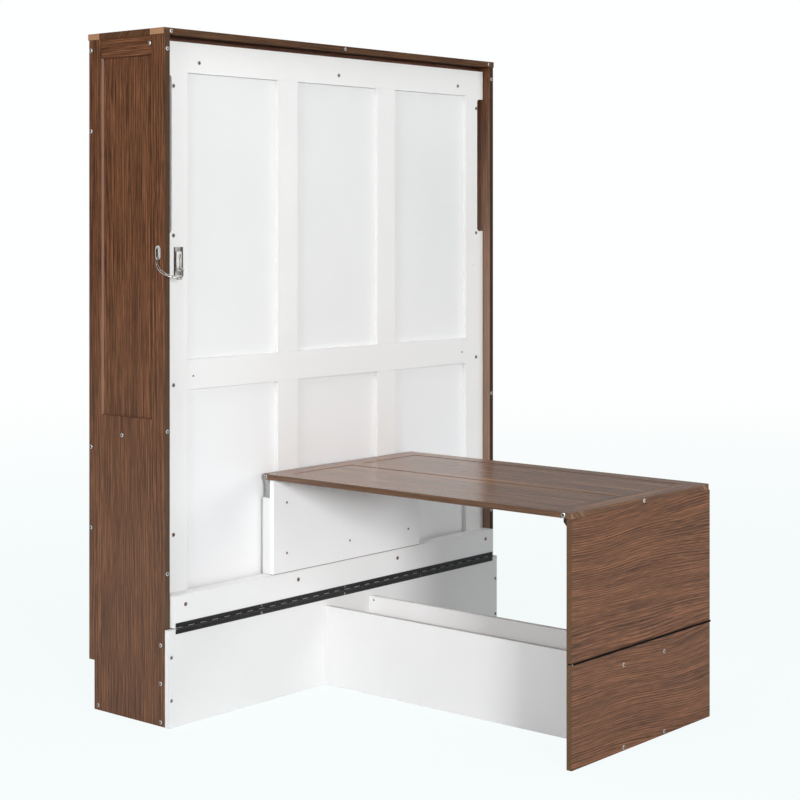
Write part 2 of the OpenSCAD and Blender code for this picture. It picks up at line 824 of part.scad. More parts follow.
module face_screws() {
    color("#b9b9b6") {
        facing_front(concat(stile_screws_at, top_screws_at), face_set)
            screw(strip_t + sheet_t + screw_bite);
        facing_front(mid_screws_at, face_set) screw(strip_t + sheet_t + ledge_t - 5, 3.5);
        facing_front(hinge_rail_screws_at, -board_t) screw(board_t + screw_bite);
        facing_front(block_screws_at, support_y) screw(board_t + screw_bite, 4);
        facing_front([[-track_x, track_z + track_h / 2 - 7], [-track_x, track_z - track_h / 2 + 7]],
                     face_set - 1.5) screw(11, 3.5);
        translate([0, pin_y, pin_z]) leaf_screws_at(bed_hinge_l, 1, knuckle_r - leaf_t, 0) leaf_screw();
    }
}

// ---------- desk ----------

// outline of the whole desk top seen from above
module desk_outline() {
    for (s = [-1, 1]) {
        translate([s * (desk_x - desk_front_r), -reach + desk_front_r]) circle(r = desk_front_r);
        translate([s * (desk_x - desk_rear_r), desk_rear_y - desk_rear_r]) circle(r = desk_rear_r);
    }
    translate([-desk_x, -reach + desk_front_r])
        square([desk_w, desk_rear_y + reach - desk_front_r - desk_rear_r]);
    translate([-desk_x + desk_front_r, -reach]) square([desk_w - 2 * desk_front_r, desk_front_r]);
    translate([-desk_x + desk_rear_r, desk_rear_y - desk_rear_r])
        square([desk_w - 2 * desk_rear_r, desk_rear_r]);
}

module desk_stiles() {
    pocket_top = desk_mid_z + eye_r + 0.8;
    color("#7d6a5e") pair() difference() {
        translate([0, 0, desk_bottom]) linear_extrude(desk_t) intersection() {
            desk_outline();
            translate([-desk_x, -reach]) square([desk_border, desk_rear_y + reach]);
        }
        block([-plate_x - slot_half, rear_pivot[0] - eye_r - 3, desk_bottom - 1],
              [-plate_x + slot_half, desk_rear_y + 1, desk_h + 1]);
        block([-plate_x - slot_half, front_pivot[0] - eye_r - 1, desk_bottom - 1],
              [-plate_x + slot_half, front_pivot[0] + plate_reach + 10, pocket_top]);
        for (p = [rear_pivot, front_pivot])
            rod_x(-desk_x - 1, -desk_x + 24.5, p[0], p[1], bolt_r + running_fit);
    }
}

module desk_end_rails() {
    field_x = desk_x - desk_border;
    color("#7d6a5e") difference() {
        union() {
            block([-field_x, -reach, desk_bottom], [field_x, -reach + desk_end_border, desk_h]);
            block([-field_x, desk_rear_y - desk_end_border, desk_bottom], [field_x, desk_rear_y, desk_h]);
        }
        facing_front([[0, desk_mid_z]], -reach) screw_bore(desk_end_border + screw_bite);
    }
}

module desk_mullion() {
    color("#7d6a5e") difference() {
        block([-desk_mullion_w / 2, -reach + desk_end_border, desk_bottom],
              [desk_mullion_w / 2, desk_rear_y - desk_end_border, desk_h]);
        facing_front([[0, desk_mid_z]], -reach) screw_bore(desk_end_border + screw_bite);
    }
}

module desk_fields() {
    color("#7d6a5e") pair()
        block([-desk_x + desk_border, -reach + desk_end_border, desk_bottom],
              [-desk_mullion_w / 2, desk_rear_y - desk_end_border, desk_h - desk_field_sink]);
}

module desk_pivot_bolts() {
    color("#c4c4c2") for (s = [-1, 1])
        facing_side([rear_pivot, front_pivot], desk_x, s) screw(24, bolt_head_r, bolt_r);
}

module desk_edge_screw() {
    color("#c4c4c2") facing_front([[0, desk_mid_z]], -reach) screw(desk_end_border + screw_bite, 6);
}

// ---------- leg panel ----------

module leg_panel() {
    color("#74513f") difference() {
        board(desk_x, -reach, board_t, moving_z, desk_bottom - 0.5);
        pair() block([-plate_x - plate_t / 2 - 0.2, leg_in_y - 2, desk_bottom - leg_plate_drop - 6],
                     [-plate_x + 24, leg_in_y + 1, desk_bottom + 1]);
    }
}

module leg_hinge_moving_leaf() {
    color("#2a2a2a") translate([0, leg_pin_y, pin_z]) edge_leaf(desk_w, knuckle_r + board_t, 1);
}

module leg_pivot_plates() {
    eye = front_pivot;
    low = desk_bottom - leg_plate_drop;
    color("#222222") pair() {
        standing_plate([
            [leg_in_y - 2, low], [leg_in_y + 6, low], [eye[0] + eye_r, desk_bottom - 12],
            [eye[0] + eye_r, eye[1]], [eye[0] - eye_r, eye[1]], [eye[0] - eye_r, desk_bottom - 2],
            [leg_in_y - 2, desk_bottom - 4]
        ], eye, bolt_r + open_fit);
        block([-plate_x, leg_in_y - 2, low], [-plate_x + 22, leg_in_y, desk_bottom - 4]);
    }
}

// ---------- gas struts ----------

// children are drawn with the upper pivot at the origin and the strut going down
module on_strut(side) {
    translate([side * strut_x, strut_y, strut_z]) rotate([strut_lean, 0, 0]) children();
}

module strut_tube(side) {
    color("#23262a") on_strut(side) difference() {
        union() {
            rod_x(-eye_half, eye_half, 0, 0, 9);
            block([-eye_half + 1, -5, -18], [eye_half - 1, 5, 0]);
            translate([0, 0, -15 - strut_tube_l]) cylinder(r = strut_r, h = strut_tube_l);
        }
        rod_x(-eye_half - 1, eye_half + 1, 0, 0, strut_pin_r + running_fit);
        translate([0, 0, -16 - strut_tube_l]) cylinder(r = rod_r + running_fit, h = strut_tube_l - 45);
    }
}

module strut_tube_left() strut_tube(-1);

module strut_tube_right() strut_tube(1);

module strut_rod(side) {
    color("#c9cbcd") on_strut(side) translate([0, 0, -strut_len]) difference() {
        union() {
            rod_x(-eye_half, eye_half, 0, 0, 8);
            translate([0, 0, 5]) cylinder(r = rod_r, h = rod_l + 7);
        }
        rod_x(-eye_half - 1, eye_half + 1, 0, 0, strut_pin_r);
    }
}

module strut_rod_left() strut_rod(-1);

module strut_rod_right() strut_rod(1);

// ---------- safety chain ----------

// where the links meet, from the anchor's pin round the front edge to the stud
chain_route = [
    [-half_w - 3.6, 31, track_z + 13.2],
    [-half_w - 11, 26.6, track_z - 7.9],
    [-half_w - 11.2, 12, track_z - 26.4],
    [-half_w - 2.2, -4.8, track_z - 39.3],
    [-half_w + 14.4, -18.3, track_z - 45.7],
    [-half_w + 35.5, -19.7, track_z - 51.6],
    [-half_w + 57.5, -12.3, track_z - 51.5],
    [-half_w + 75.4, 2.6, track_z - 44.4],
    [-half_w + 86.4, 15.5, track_z - 23]
];
link_play = 0.4;
first_side = [-0.08, 0.85, -0.7];
function unit(v) = v / norm(v);
function link_way(i) = unit(chain_route[i + 1] - chain_route[i]);
// each link stands square to the one before it
function link_side(i) = i == 0
    ? unit(first_side - link_way(0) * (first_side * link_way(0)))
    : unit(cross(link_way(i), link_side(i - 1)));

// one link, from the origin up to z = length between the wire's inner sides
module chain_link(length) {
    bend_r = link_w / 2 - wire_r;
    run = length + 2 * wire_r - 2 * bend_r;
    overlap = 0.4;
    translate([0, 0, length / 2]) {
        for (s = [-1, 1]) {
            translate([s * bend_r, 0, -run / 2 - overlap])
                cylinder(r = wire_r - 0.05, h = run + 2 * overlap, $fn = 16);
            translate([0, 0, s * run / 2]) rotate([0, s * 90 - 90, 0]) rotate([90, 0, 0])
                rotate_extrude(angle = 180, $fn = 24) translate([bend_r, 0]) circle(r = wire_r, $fn = 16);
        }
    }
}

module chain_links(first, last) {
    for (i = [first:last]) {
        p = chain_route[i];
        d = link_way(i);
        w = link_side(i);
        m = cross(d, w);
        multmatrix([
            [w[0], m[0], d[0], p[0] - link_play * d[0]],
            [w[1], m[1], d[1], p[1] - link_play * d[1]],
            [w[2], m[2], d[2], p[2] - link_play * d[2]],
            [0, 0, 0, 1]
        ]) chain_link(norm(chain_route[i + 1] - p) + 2 * link_play);
    }
}

// all links but the first, which stays on the anchor's pin
module safety_chain() {
    color("#c4c4c2") {
        chain_links(1, len(chain_route) - 2);
        // the stud: a disc inside the track, a neck through its slot and a head
        translate([-track_x, face_set - track_rise, track_z - 25]) rotate([90, 0, 0]) rotate_extrude()
            polygon([
                [0, -4.5], [4, -4.5], [4, -2.2], [1.6, -2.2], [1.6, 15], [4.2, 15], [4.2, 16.6],
                [3, 17.4], [0, 17.4]
            ]);
    }
}

// the part stands with its origin in the middle of its footprint
module placed() translate([0, -mid_y, 0]) children();

placed() side_panel_left();
placed() side_panel_right();
placed() cap_front_rail();
placed() cap_back_rail();
placed() cap_infill();
placed() head_rail();
placed() upper_back_board();
placed() lower_back_board();
placed() rear_tie();
placed() base_board();
placed() corner_cleats();
placed() base_rail_left();
placed() base_rail_right();
placed() lower_front_panel();
placed() bed_hinge_fixed_leaf();
placed() bed_hinge_pin();
placed() leg_hinge_fixed_leaf();
placed() leg_hinge_pin();
placed() strut_brackets();
placed() chain_anchor();
placed() case_screws();
placed() base_screws();
placed() face_sheet();
placed() face_stile_left();
placed() face_stile_right();
placed() face_top_rail();
placed() face_mid_rail();
placed() face_mullions();
placed() hinge_rail_front();
placed() hinge_rail_core();
placed() box_rail_left();
placed() box_rail_right();
placed() box_end_rails();
placed() slat_ledges();
placed() cross_batten();
placed() centre_beams();
placed() slats();
placed() desk_spacers();
placed() desk_support_board();
placed() desk_pivot_plates();
placed() bed_hinge_moving_leaf();
placed() strut_studs();
placed() chain_track();
placed() face_screws();
placed() desk_stiles();
placed() desk_end_rails();
placed() desk_mullion();
placed() desk_fields();
placed() desk_pivot_bolts();
placed() desk_edge_screw();
placed() leg_panel();
placed() leg_hinge_moving_leaf();
placed() leg_pivot_plates();
placed() strut_tube_left();
placed() strut_rod_left();
placed() strut_tube_right();
placed() strut_rod_right();
placed() safety_chain();
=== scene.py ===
import bpy
import bmesh
import math
from mathutils import Matrix, Vector


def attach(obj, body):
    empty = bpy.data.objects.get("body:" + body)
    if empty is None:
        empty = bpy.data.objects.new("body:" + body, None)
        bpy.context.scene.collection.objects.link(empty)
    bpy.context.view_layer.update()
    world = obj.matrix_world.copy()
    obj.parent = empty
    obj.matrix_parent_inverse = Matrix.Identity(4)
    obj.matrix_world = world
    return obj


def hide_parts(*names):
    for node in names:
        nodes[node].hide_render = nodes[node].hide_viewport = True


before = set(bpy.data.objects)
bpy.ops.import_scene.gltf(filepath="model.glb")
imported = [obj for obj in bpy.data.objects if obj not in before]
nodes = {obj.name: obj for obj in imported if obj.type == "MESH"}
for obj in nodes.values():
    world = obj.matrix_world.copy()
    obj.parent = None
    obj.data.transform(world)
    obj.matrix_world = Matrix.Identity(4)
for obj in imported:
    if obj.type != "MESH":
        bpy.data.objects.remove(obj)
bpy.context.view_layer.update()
mm = 0.001
backShift = 431.5  # the cabinet's front edges stand this far behind the middle of the part


def at(x, y, z):
    # a place in millimetres from the cabinet's front edges, as metres in the frame
    return Vector((x * mm, (y + backShift) * mm, z * mm))


def paint(code):
    # a colour as it shows on screen, turned into the renderer's own values
    rgb = [int(code[i:i + 2], 16) / 255 for i in (1, 3, 5)]
    lin = [c / 12.92 if c <= 0.04045 else ((c + 0.055) / 1.055) ** 2.4 for c in rgb]
    return (*lin, 1)


squareOn = 0.7  # a face looks along an axis when its normal's share of it is above this


class Shader:
    # keeps the making of a material's nodes short
    def __init__(self, name):
        self.mat = bpy.data.materials.new(name)
        self.mat.use_nodes = True
        self.tree = self.mat.node_tree
        self.tree.nodes.clear()
        self.out = self.tree.nodes.new("ShaderNodeOutputMaterial")
        self.skin = self.tree.nodes.new("ShaderNodeBsdfPrincipled")
        self.link(self.skin.outputs["BSDF"], self.out.inputs["Surface"])
        self.coord = self.tree.nodes.new("ShaderNodeTexCoord")

    def link(self, a, b):
        self.tree.links.new(a, b)

    def mapped(self, scale, move=(0, 0, 0)):
        m = self.tree.nodes.new("ShaderNodeMapping")
        m.inputs["Scale"].default_value = scale
        m.inputs["Location"].default_value = move
        self.link(self.coord.outputs["Object"], m.inputs["Vector"])
        return m.outputs["Vector"]

    def noise(self, vector, detail, rough):
        n = self.tree.nodes.new("ShaderNodeTexNoise")
        n.inputs["Scale"].default_value = 1.0  # the size comes from the vector
        n.inputs["Detail"].default_value = detail
        n.inputs["Roughness"].default_value = rough
        self.link(vector, n.inputs["Vector"])
        return n.outputs["Fac"]

    def math(self, how, a, b=None, c=None, clamp=False):
        n = self.tree.nodes.new("ShaderNodeMath")
        n.operation = how
        n.use_clamp = clamp
        for i, v in enumerate((a, b, c)):
            if v is None:
                continue
            if isinstance(v, (int, float)):
                n.inputs[i].default_value = v
            else:
                self.link(v, n.inputs[i])
        return n.outputs[0]

    def ramp(self, value, stops):
        n = self.tree.nodes.new("ShaderNodeValToRGB")
        r = n.color_ramp
        while len(r.elements) < len(stops):
            r.elements.new(0.5)
        for e, (pos, col) in zip(r.elements, stops):
            e.position = pos
            e.color = col
        self.link(value, n.inputs["Fac"])
        return n.outputs["Color"]

    def twoTone(self, value, dark, light):
        # from the dark tone to the light one over the middle of the value's range
        return self.ramp(value, [(0.3, paint(dark)), (0.7, paint(light))])

    def mix(self, share, under, over):
        # the second colour covers the first one by the share
        n = self.tree.nodes.new("ShaderNodeMix")
        n.data_type = "RGBA"
        shareIn, underIn, overIn, colourOut = 0, 6, 7, 2  # this node's sockets for colours
        for key, v in ((shareIn, share), (underIn, under), (overIn, over)):
            if isinstance(v, (int, float, tuple)):
                n.inputs[key].default_value = v
            else:
                self.link(v, n.inputs[key])
        return n.outputs[colourOut]

    def spread(self, vector):
        n = self.tree.nodes.new("ShaderNodeSeparateXYZ")
        self.link(vector, n.inputs[0])
        return n.outputs

    def place(self):
        # where a point lies on the part, in metres
        return self.spread(self.coord.outputs["Object"])

    def normal(self):
        return self.spread(self.coord.outputs["Normal"])

    def turned(self, side):
        # 1 on faces that look along the axis, either way
        return self.math("GREATER_THAN", self.math("ABSOLUTE", side), squareOn)

    def between(self, value, low, high):
        # 1 where the value lies between the two limits
        above = self.math("GREATER_THAN", value, low)
        return self.math("MULTIPLY", above, self.math("LESS_THAN", value, high))

    def finish(self, colour, rough, shine):
        self.link(colour, self.skin.inputs["Base Color"])
        self.skin.inputs["Roughness"].default_value = rough
        self.skin.inputs["Specular IOR Level"].default_value = shine

    def bump(self, height, strength, depth, rounding=0.0):
        n = self.tree.nodes.new("ShaderNodeBump")
        n.inputs["Strength"].default_value = strength
        n.inputs["Distance"].default_value = depth
        self.link(height, n.inputs["Height"])
        if rounding:
            # sharp corners catch the light as slightly rounded ones
            b = self.tree.nodes.new("ShaderNodeBevel")
            b.samples = 4
            b.inputs["Radius"].default_value = rounding
            self.link(b.outputs["Normal"], n.inputs["Normal"])
        self.link(n.outputs["Normal"], self.skin.inputs["Normal"])


def dress(mat, parts):
    for p in parts:
        nodes[p].data.materials.clear()
        nodes[p].data.materials.append(mat)


# how far the growth lines hold, how long the broad bands are, and the size of the pores
grainSizes = {
    "breakAcross": 30, "breakAlong": 1.5, "broadAlong": 0.8, "poreAcross": 1000, "poreAlong": 16.0,
}


def grain(s, along, look, move):
    # growth lines that wander, with streaks and short dark pores that follow them
    def swing(value, share):
        return s.math("MULTIPLY", s.math("SUBTRACT", value, 0.5), share)

    def followed(across, length):
        join = s.tree.nodes.new("ShaderNodeCombineXYZ")
        s.link(s.math("MULTIPLY", place[along], length), join.inputs[0])
        s.link(s.math("MULTIPLY", path, across), join.inputs[1])
        return join.outputs[0]

    place = s.spread(s.mapped((1, 1, 1), move))
    one, two = (i for i in "XYZ" if i != along)
    stretch = tuple(look["figureLength"] if i == along else look["figure"] for i in "XYZ")
    warp = s.noise(s.mapped(stretch, move), 1.0, 0.4)
    path = s.math("ADD", s.math("ADD", place[one], place[two]), swing(warp, look["wander"]))
    lines = s.math("SINE", s.math("MULTIPLY", path, 2 * math.pi / look["pitch"]))
    breaks = s.noise(followed(grainSizes["breakAcross"], grainSizes["breakAlong"]), 2.0, 0.5)
    lines = s.math("MULTIPLY", lines, breaks)
    wide = s.noise(followed(look["broad"], grainSizes["broadAlong"]), 2.0, 0.5)
    streaks = s.noise(followed(look["streak"], look["streakLength"]), 3.0, 0.6)
    fine = s.noise(followed(grainSizes["poreAcross"], grainSizes["poreAlong"]), 2.0, 0.6)
    tone = s.math("MULTIPLY_ADD", lines, look["lineShare"], 0.5)
    tone = s.math("ADD", tone, swing(streaks, look["streakShare"]))
    tone = s.math("ADD", tone, swing(wide, look["wideShare"]))
    tone = s.math("ADD", tone, swing(fine, look["fineShare"]))
    return tone, fine


veneer = {
    "railMove": (3.1, 1.7, 0.4), "seam": "#2c1c14", "seamHalf": 0.0006, "speck": 900,
    "paintedSheenTint": "#b49a88", "relief": 0.1, "reliefDepth": 0.0002, "rounding": 0.0008,
}


def wood(name, along, look, move, parts, rawEnds=None, edge=None, crossRail=None):
    s = Shader(name)
    tone, fine = grain(s, along, look, move)
    stops = [(p, paint(c)) for p, c in look["tones"]]
    colour = s.ramp(tone, stops)
    place, normal = s.place(), s.normal()
    if crossRail:
        # the rail at the top of a side runs across, between its two stiles
        other, _ = grain(s, crossRail["along"], look, veneer["railMove"])
        above = s.math("GREATER_THAN", place["Z"], crossRail["above"])
        rail = s.math("MULTIPLY", above, s.between(place["Y"], crossRail["from"], crossRail["to"]))
        colour = s.mix(rail, colour, s.ramp(other, stops))
        # hairline joints between the stiles and the rail
        half = veneer["seamHalf"]
        front, back = (s.between(place["Y"], crossRail[end] - half, crossRail[end] + half)
                       for end in ("from", "to"))
        seams = s.math("MULTIPLY", s.math("ADD", front, back), above)
        colour = s.mix(seams, colour, paint(veneer["seam"]))
    if edge:
        # narrow edges carry a plain band
        band = s.turned(normal[edge["axis"]])
        if "step" in edge:
            # the step down to the sunk field is painted lighter than the outer edge, a painted highlight
            # where it catches the light
            inner = s.math("GREATER_THAN", place[edge["axis"]], edge["stepFrom"])
            colour = s.mix(s.math("MULTIPLY", band, inner), colour, paint(edge["step"]))
            outer = s.math("LESS_THAN", place[edge["axis"]], edge["stepFrom"])
            band = s.math("MULTIPLY", band, outer)
        flecks = s.twoTone(fine, edge["dark"], edge["light"])
        colour = s.mix(s.math("MULTIPLY", band, edge["share"]), colour, flecks)
    if rawEnds:
        speck = s.noise(s.mapped((veneer["speck"],) * 3), 2.0, 0.6)
        raw = s.twoTone(speck, rawEnds["dark"], rawEnds["light"])
        colour = s.mix(s.turned(normal["X"]), colour, raw)
    if look["paintedSheen"]:
        # painted sheen: a pale tint that grows towards the floor, and stays off a clear edge
        low = s.math("MULTIPLY_ADD", place["Z"], -1.0, look["paintedSheenTop"], clamp=True)
        if edge and edge.get("clear"):
            low = s.math("MULTIPLY", low, s.math("SUBTRACT", 1.0, band))
        colour = s.mix(s.math("MULTIPLY", low, look["paintedSheen"]), colour, paint(veneer["paintedSheenTint"]))
    s.finish(colour, look["rough"], look["shine"])
    s.bump(fine, veneer["relief"], veneer["reliefDepth"], veneer["rounding"])
    dress(s.mat, parts)


caseLook = {
    "figure": 5.0, "figureLength": 0.5, "wander": 0.09, "pitch": 0.012, "broad": 26,
    "streak": 320, "streakLength": 4.2,
    "lineShare": 0.08, "streakShare": 1.5, "wideShare": 0.34, "fineShare": 1.1,
    "tones": [(0.22, "#26150c"), (0.42, "#4c2f1d"), (0.58, "#643f29"), (0.78, "#86593e")],
    "rough": 0.5, "shine": 0.16, "paintedSheen": 0.09, "paintedSheenTop": 1.5,
}
frontLook = {
    "figure": 3.4, "figureLength": 1.1, "wander": 0.14, "pitch": 0.0085, "broad": 20,
    "streak": 285, "streakLength": 2.8,
    "lineShare": 0.15, "streakShare": 1.25, "wideShare": 0.24, "fineShare": 1.15,
    "tones": [(0.18, "#2f1d14"), (0.41, "#5d3f2d"), (0.58, "#7a523b"), (0.82, "#a16e4f")],
    "rough": 0.5, "shine": 0.2, "paintedSheen": 0.04, "paintedSheenTop": 1.5,
}
deskLook = {
    "figure": 5.0, "figureLength": 0.6, "wander": 0.1, "pitch": 0.013, "broad": 24,
    "streak": 150, "streakLength": 1.8,
    "lineShare": 0.1, "streakShare": 1.5, "wideShare": 0.5, "fineShare": 0.7,
    "tones": [(0.18, "#3a2617"), (0.4, "#6a4830"), (0.58, "#8a6245"), (0.82, "#b3855f")],
    "rough": 0.27, "shine": 0.6, "paintedSheen": 0,
}
# the right side carries more painted sheen, painted light thrown on its inner face from the white bed
rightLook = dict(caseLook, paintedSheen=0.4, paintedSheenTop=2.15)
headTones = [(0.3, "#4a3024"), (0.55, "#684433"), (0.8, "#825944")]
capTones = [(0.2, "#352012"), (0.45, "#4c311d"), (0.65, "#5b3e28"), (0.85, "#6b4b33")]
capLook = dict(caseLook, paintedSheen=0, tones=capTones)
endTones = [(0.18, "#3a2415"), (0.4, "#6a442b"), (0.58, "#8a5d3d"), (0.82, "#b37e54")]
paleLook = dict(caseLook, tones=[(0.2, "#c09a6c"), (0.5, "#cfad80"), (0.8, "#dcc19a")], rough=0.6)
rawEnd = {"dark": "#8e684c", "light": "#a98366"}
sideEdge = {
    "axis": "Y", "share": 0.85, "dark": "#3a2b1e", "light": "#4b3928",
    # step: the lighter colour of that painted highlight
    "step": "#937565", "stepFrom": 0.46,
}
# the right post's front edge band: the band's own dark colour, painted darker than the left one's as
# painted shade
postEdge = dict(sideEdge, share=0.95, dark="#2e2015", light="#3e2c1f", clear=True)
frontEdge = {"axis": "X", "share": 0.8, "dark": "#4a3520", "light": "#5d452c"}
deskEdge = {"axis": "X", "share": 0.75, "dark": "#3d2918", "light": "#5a3d27"}
deskFront = {"axis": "Y", "share": 0.4, "dark": "#38271a", "light": "#513826"}
sideRail = {"along": "Y", "above": 2.099, "from": 0.4925, "to": 0.7335}

wood("walnutSideLeft", "Z", caseLook, (0.2, 0.1, 0.3), ["side_panel_left"],
     edge=sideEdge, crossRail=sideRail)
wood("walnutSideRight", "Z", rightLook, (4.2, 2.1, 1.3), ["side_panel_right"],
     edge=postEdge, crossRail=sideRail)
wood("walnutCap", "X", capLook, (1.2, 5.1, 0.3), ["cap_front_rail", "cap_back_rail"], rawEnds=rawEnd)
wood("walnutCapInfill", "X", capLook, (2.2, 0.1, 4.3), ["cap_infill"])
wood("walnutBoards", "X", caseLook, (3.2, 6.1, 2.3),
     ["upper_back_board", "lower_back_board", "rear_tie"])
wood("walnutHeadRail", "X", dict(caseLook, tones=headTones), (5.2, 1.1, 2.3), ["head_rail"])
wood("walnutFrontUpper", "X", frontLook, (2.4, 4.1, 0.3), ["leg_panel"], edge=frontEdge)
wood("walnutFrontLower", "X", frontLook, (7.4, 1.1, 5.3), ["lower_front_panel"], edge=frontEdge)
wood("walnutDeskStiles", "Y", deskLook, (2.4, 1.1, 0.3), ["desk_stiles"], edge=deskEdge)
wood("walnutDeskEnds", "X", dict(deskLook, tones=endTones), (6.4, 3.1, 0.3), ["desk_end_rails"],
     edge=deskFront)
wood("walnutDeskStrip", "Y", deskLook, (9.4, 2.1, 0.3), ["desk_mullion"], edge=deskEdge)
wood("walnutDeskFields", "Y", deskLook, (4.4, 7.1, 0.3), ["desk_fields"])
wood("paleWood", "Z", paleLook, (0, 0, 0), ["slat_ledges", "centre_beams"])
wood("paleWoodAcross", "X", paleLook, (0, 0, 0), ["slats", "cross_batten"])
print("wood ready")

# seam: the grey of the painted shadow in the gap at a board's lower edge
coat = {
    "patch": 3, "paintedLightSlope": -0.8, "paintedLightStart": 1.3, "seam": "#96908a", "shine": 0.3,
    "peel": 700, "peelStrength": 0.05, "peelDepth": 0.0002, "rounding": 0.0014,
}


def coated(name, colours, parts, rough=0.42, rawBottom=None, gapShadeTo=None, paintedLightTint=None, sides=0.92):
    # white coated board: hardly any texture, a soft sheen and slightly uneven tone
    s = Shader(name)
    tone = s.noise(s.mapped((coat["patch"],) * 3), 2.0, 0.5)
    colour = s.twoTone(tone, *colours)
    place, normal = s.place(), s.normal()
    if paintedLightTint:
        # painted light: a little lighter lower down, towards the hinge
        low = s.math("MULTIPLY_ADD", place["Z"], coat["paintedLightSlope"], coat["paintedLightStart"], clamp=True)
        colour = s.mix(low, colour, paint(paintedLightTint))
    # painted shade: faces turned sideways along X are a touch darker
    sideShade = s.math("MULTIPLY", s.turned(normal["X"]), 1 - sides)
    colour = s.mix(sideShade, colour, (0.0, 0.0, 0.0, 1.0))
    if rawBottom:
        below = s.math("LESS_THAN", normal["Z"], -squareOn)
        colour = s.mix(below, colour, paint(rawBottom))
    if gapShadeTo:
        # painted shade: a thin grey line at the lower edge stands for the shadow in the gap below
        colour = s.mix(s.math("LESS_THAN", place["Z"], gapShadeTo), colour, paint(coat["seam"]))
    s.finish(colour, rough, coat["shine"])
    peel = s.noise(s.mapped((coat["peel"],) * 3), 2.0, 0.5)
    s.bump(peel, coat["peelStrength"], coat["peelDepth"], coat["rounding"])
    dress(s.mat, parts)


# the white boards share one coat; their colours are set piece by piece as painted light and shade, the
# right rail, the hinge rail and the support board painted lighter
coated("whiteFace", ("#e8e7e6", "#ebeae9"), [
    "face_stile_left", "face_stile_right", "face_top_rail", "face_mid_rail", "face_mullions"],
    paintedLightTint="#f3f3f3", sides=0.9)
coated("whiteSheet", ("#e4e4e4", "#e7e7e7"), ["face_sheet"], paintedLightTint="#f8f8f9")
coated("whiteHinge", ("#f2f2f2", "#f5f5f5"), ["hinge_rail_front", "hinge_rail_core", "corner_cleats"])
coated("whiteBase", ("#ebebeb", "#eeeeee"), ["base_board"])
coated("whiteRailLeft", ("#e9e8e8", "#ecebeb"), ["base_rail_left"], sides=0.9)
coated("whiteRailRight", ("#f3f3f3", "#f6f6f6"), ["base_rail_right"], sides=1.0)
coated("whiteSupport", ("#f4f4f5", "#f7f7f8"), ["desk_support_board"], gapShadeTo=0.4102)
coated("whiteBox", ("#e9e8e5", "#eeedea"), ["box_rail_left", "box_rail_right", "box_end_rails"],
       rough=0.5)
coated("whiteSpacer", ("#e4e4e3", "#e8e8e7"), ["desk_spacers"], rough=0.45, rawBottom="#b5876a")
print("boards ready")

polish = {
    "brush": 40, "stretch": 6, "warm": "#9b7d68", "warmFrom": 0.33, "endShare": 0.5,
    "scratch": 0.06, "scratchDepth": 0.0002,
}


def metal(name, colours, parts, rough, metallic, dash=None, reflectionPaint=None, shine=0.5, warmBelow=None):
    s = Shader(name)
    across = polish["brush"] * polish["stretch"]
    tone = s.noise(s.mapped((polish["brush"], across, across)), 3.0, 0.6)
    colour = s.twoTone(tone, *colours)
    place = s.place()
    if dash:
        # another colour at even steps along X, inside a narrow strip
        turn = s.math("FRACT", s.math("DIVIDE", place["X"], dash["pitch"]))
        marked = s.math("MULTIPLY", s.math("LESS_THAN", turn, dash["share"]),
                        s.between(place["Y"], dash["from"], dash["to"]))
        marked = s.math("MULTIPLY", marked, s.between(place["Z"], dash["low"], dash["high"]))
        colour = s.mix(marked, colour, paint(dash["colour"]))
    if warmBelow:
        # the plain screws low on the bed are browned
        warm = s.between(place["Z"], polish["warmFrom"], warmBelow)
        colour = s.mix(warm, colour, paint(polish["warm"]))
    if reflectionPaint:
        # painted reflection: faces that look along the axis are painted bright, the edges and hollows
        # painted dark as shade
        reflectedShare = s.math("ABSOLUTE", s.normal()[reflectionPaint["axis"]])
        reflectedShare = s.math("MULTIPLY_ADD", reflectedShare, 1 / reflectionPaint["soft"], 1 - 1 / reflectionPaint["soft"], clamp=True)
        if "rim" in reflectionPaint:
            reflectedShare = s.math("MULTIPLY", reflectedShare, s.between(place["X"], *reflectionPaint["rim"]))
            # the screwed ends get less of the painted reflection than the slotted middle
            middle = s.between(place["Z"], *reflectionPaint["middle"])
            middle = s.math("MULTIPLY_ADD", middle, 1 - polish["endShare"], polish["endShare"])
            reflectedShare = s.math("MULTIPLY", reflectedShare, middle)
        if "hollowY" in reflectionPaint:
            # painted shade: a dark patch stands for the slot in the anchor's plate
            hollow = s.math("MULTIPLY", s.between(place["Y"], *reflectionPaint["hollowY"]),
                            s.between(place["Z"], *reflectionPaint["hollowZ"]))
            reflectedShare = s.math("MULTIPLY", reflectedShare, s.math("SUBTRACT", 1.0, hollow))
        colour = s.mix(reflectedShare, paint(reflectionPaint["dark"]), colour)
    s.finish(colour, rough, shine)
    s.skin.inputs["Metallic"].default_value = metallic
    s.bump(tone, polish["scratch"], polish["scratchDepth"])
    dress(s.mat, parts)
    return s.mat


# the small screws of the piano hinges are blackened, the others bright
blackScrews = {
    "pitch": 0.407, "share": 0.93, "from": 0.4, "to": 0.414, "low": 0.284, "high": 0.326,
    "colour": "#161617",
}
# pale stripes at even steps along a thin line on the hinge's knuckles
hingeStripes = {
    "pitch": 0.0133, "share": 0.5, "from": 0.4, "to": 0.4095, "low": 0.3056, "high": 0.3072,
    "colour": "#62605d",
}
# painted reflection and shade: the dark colours below stand for shade, and the track keeps its painted
# reflection only inside the rim's X range
chainReflectionPaint = {"axis": "Y", "dark": "#4a463f", "soft": 0.9}
trackReflectionPaint = {
    "axis": "Y", "dark": "#3d3934", "soft": 0.4, "rim": (-0.7648, -0.7425), "middle": (1.4185, 1.4795),
}
anchorReflectionPaint = {
    "axis": "X", "dark": "#2e2b27", "soft": 0.4, "hollowY": (0.4625, 0.4715), "hollowZ": (1.463, 1.49),
}

